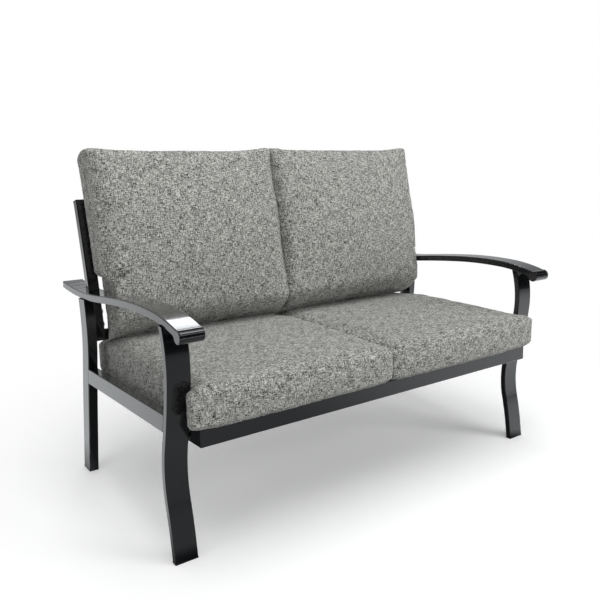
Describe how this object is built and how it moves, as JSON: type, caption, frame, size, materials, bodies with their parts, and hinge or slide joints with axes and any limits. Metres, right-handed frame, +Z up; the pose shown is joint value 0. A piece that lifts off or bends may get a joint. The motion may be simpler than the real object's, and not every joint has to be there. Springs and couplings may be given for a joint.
{
  "type": "patio loveseat",
  "caption": "Outdoor seat for two: bent black metal frame with scrolled arms and S-curved front legs, carrying loose grey tweed seat and back cushions.",
  "frame": {"origin": "on the floor, in the middle of the width and depth of the whole seat", "axes": "+X to the right of a person who stands in front and looks along +Y at the seat, +Y from the front edge towards the back, +Z up"},
  "size_m": [1.3, 0.812, 0.9661],
  "materials": {
    "frame_coating": "gloss black powder coat over bent aluminium tube",
    "black_plastic": "fine-grained black polyethylene",
    "stainless_hardware": "plain stainless steel fasteners",
    "tweed_fabric": "grey heathered outdoor tweed with uneven slub yarns"
  },
  "bodies": {
    "frame": {"arm_left": "frame_coating", "arm_right": "frame_coating", "front_leg_left": "frame_coating", "front_leg_right": "frame_coating", "rear_leg_left": "frame_coating", "rear_leg_right": "frame_coating", "side_rail_left": "frame_coating", "side_rail_right": "frame_coating", "seat_front_rail": "frame_coating", "seat_rear_rail": "frame_coating", "seat_side_rail_left": "frame_coating", "seat_side_rail_right": "frame_coating", "seat_centre_rail": "frame_coating", "seat_slats_left": "frame_coating", "seat_slats_right": "frame_coating", "back_post_left": "frame_coating", "back_post_right": "frame_coating", "back_lower_rail": "frame_coating", "back_top_rail": "frame_coating", "back_slats": "frame_coating", "seat_rear_spacers": "frame_coating", "front_foot_glides": "black_plastic", "rear_foot_glides": "black_plastic", "back_post_caps": "black_plastic", "seat_bolts_front": "stainless_hardware", "seat_bolts_rear": "stainless_hardware", "back_bolts": "stainless_hardware", "seat_front_washers": "stainless_hardware", "front_leg_nuts": "stainless_hardware", "rear_leg_nuts": "stainless_hardware"},
    "seat_cushion_left": {"seat_cushion_left": "tweed_fabric"},
    "seat_cushion_right": {"seat_cushion_right": "tweed_fabric"},
    "back_cushion_left": {"back_cushion_left": "tweed_fabric"},
    "back_cushion_right": {"back_cushion_right": "tweed_fabric"}
  },
  "joints": [
    {"name": "seat_cushion_left_slide", "type": "slide", "parent": "frame", "child": "seat_cushion_left", "axis": [0, -0.999, 0.0454], "range_m": [0, 0.7]},
    {"name": "seat_cushion_right_slide", "type": "slide", "parent": "frame", "child": "seat_cushion_right", "axis": [0, -0.999, 0.0454], "range_m": [0, 0.7]},
    {"name": "back_cushion_left_lift", "type": "slide", "parent": "frame", "child": "back_cushion_left", "axis": [0, 0, 1], "range_m": [0, 0.5]},
    {"name": "back_cushion_right_lift", "type": "slide", "parent": "frame", "child": "back_cushion_right", "axis": [0, 0, 1], "range_m": [0, 0.5]}
  ]
}
